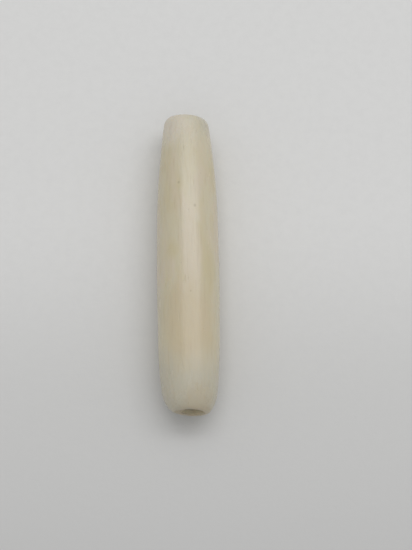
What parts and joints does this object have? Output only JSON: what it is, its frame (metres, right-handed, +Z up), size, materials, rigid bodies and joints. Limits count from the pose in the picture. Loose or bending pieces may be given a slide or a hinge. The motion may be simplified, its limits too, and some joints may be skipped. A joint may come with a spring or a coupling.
{
  "type": "bone hairpipe bead",
  "caption": "Barrel-shaped tube bead of polished bone, tapering to two rounded ends, drilled end to end so that it can be strung on a cord.",
  "frame": {"origin": "on the surface that the bead lies on, below the middle of its length and width", "axes": "+Y along the bead from its blunt end to its slim end, +Z up from the surface that it lies on, +X across it"},
  "size_m": [0.0078, 0.038, 0.0074],
  "materials": {
    "polished_bone": "satin"
  },
  "bodies": {
    "root": {"bead_body": "polished_bone"}
  },
  "joints": []
}
